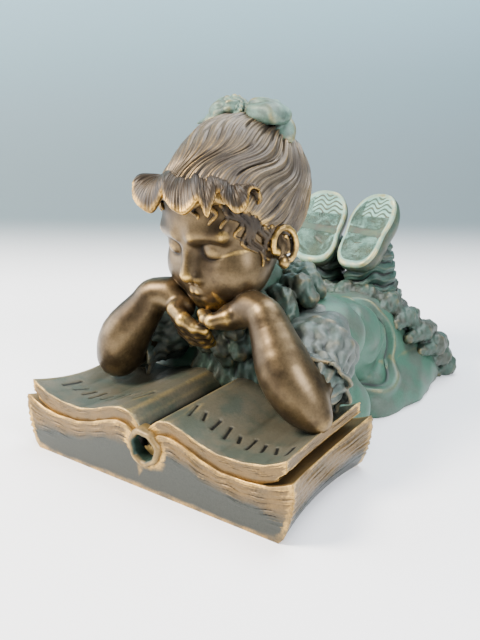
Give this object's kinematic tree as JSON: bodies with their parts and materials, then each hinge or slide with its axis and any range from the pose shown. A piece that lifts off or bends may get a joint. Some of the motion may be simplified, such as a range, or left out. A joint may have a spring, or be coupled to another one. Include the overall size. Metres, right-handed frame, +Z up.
{
  "type": "garden statue",
  "caption": "Cast statue of a small child lying on the stomach with the chin in both hands, reading a large open book.",
  "frame": {"origin": "under the middle of the statue's bounding box, on the surface it stands on", "axes": "+Z up, the child's face looks along -Y over the book, the child's left side is at +X"},
  "size_m": [0.36, 0.5592, 0.4006],
  "materials": {
    "bronze_resin": "satin brown and green bronze patina with gold worn edges"
  },
  "bodies": {
    "root": {"reading_child": "bronze_resin"}
  },
  "joints": []
}
